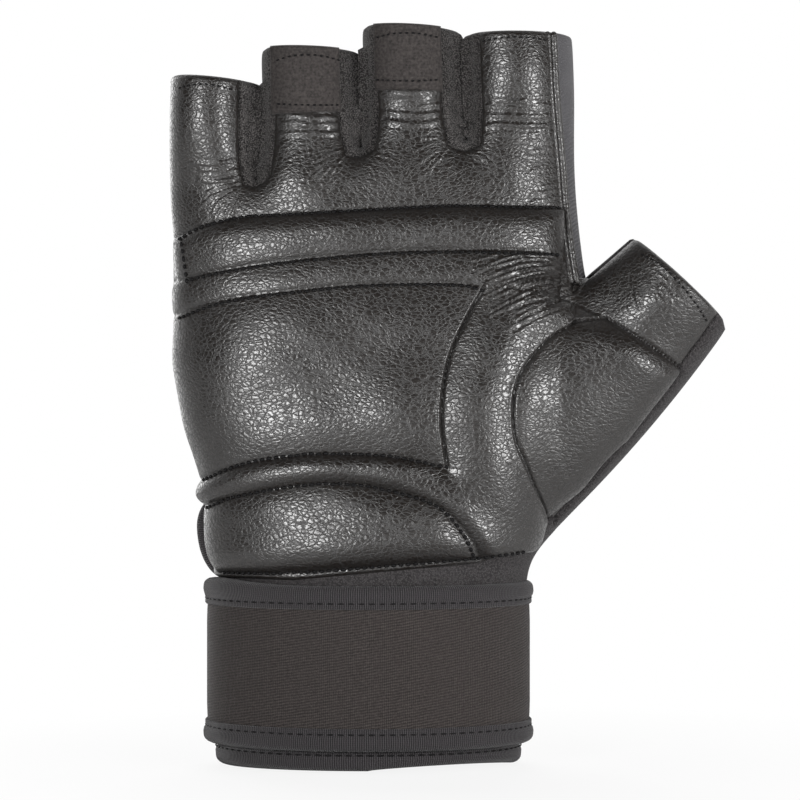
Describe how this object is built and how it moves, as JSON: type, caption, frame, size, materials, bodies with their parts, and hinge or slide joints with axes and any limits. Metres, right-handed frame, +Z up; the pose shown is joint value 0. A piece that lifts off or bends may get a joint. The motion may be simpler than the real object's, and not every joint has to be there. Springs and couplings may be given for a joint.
{
  "type": "half-finger training glove",
  "caption": "Half-finger padded leather glove for the right hand, with stretch-knit back, finger pull tabs and an elastic wrist wrap that closes with a hook-and-loop tab.",
  "frame": {"origin": "middle of the footprint's box, on the plane that the cuff's rim stands on", "axes": "+Z up along the fingers, -Y out of the palm, +X towards the thumb"},
  "size_m": [0.1374, 0.0602, 0.1819],
  "materials": {
    "leather": "pebbled, semi-gloss",
    "stretch_fabric": "matt knit",
    "knit_mesh": "open knit",
    "ribbed_side": "ribbed",
    "lining": "brushed",
    "foam": "matt foam",
    "hem_tape": "woven",
    "tab_webbing": "woven",
    "wrap_elastic": "ribbed elastic",
    "binding_tape": "folded jersey tape",
    "loop_pile": "looped pile",
    "hook_plastic": "hook tape"
  },
  "bodies": {
    "glove": {"back_panel": "stretch_fabric", "cuff": "stretch_fabric", "cuff_binding": "binding_tape", "fourchette_little_ring": "knit_mesh", "fourchette_middle_index": "knit_mesh", "fourchette_ring_middle": "knit_mesh", "heel_pad": "foam", "index_hem_tape": "hem_tape", "index_side_panel": "ribbed_side", "knuckle_pad": "foam", "little_hem_tape": "hem_tape", "loop_patch": "loop_pile", "middle_hem_tape": "hem_tape", "middle_pull_tab": "tab_webbing", "palm_leather": "leather", "palm_lining": "lining", "palm_pad": "foam", "ring_hem_tape": "hem_tape", "ring_pull_tab": "tab_webbing", "roll_pad": "foam", "side_roll": "stretch_fabric", "thumb_back_panel": "stretch_fabric", "thumb_hem_tape": "hem_tape", "thumb_pad": "foam", "wrap_front_band": "wrap_elastic", "wrap_front_bottom_binding": "binding_tape", "wrap_front_top_binding": "binding_tape"},
    "strap_back": {"strap_back_band": "wrap_elastic", "strap_back_top_binding": "binding_tape", "strap_back_bottom_binding": "binding_tape"},
    "strap_tab": {"strap_tab_band": "wrap_elastic", "strap_tab_top_binding": "binding_tape", "strap_tab_bottom_binding": "binding_tape", "hook_patch": "hook_plastic"}
  },
  "joints": [
    {"name": "strap_peel", "type": "hinge", "parent": "glove", "child": "strap_back", "pos_m": [-0.06016, -0.0007, 0.02545], "axis": [0, 0, 1], "range_deg": [0, 120]},
    {"name": "tab_peel", "type": "hinge", "parent": "strap_back", "child": "strap_tab", "pos_m": [-0.02391, 0.02988, 0.02545], "axis": [0, 0, 1], "range_deg": [0, 90]}
  ]
}
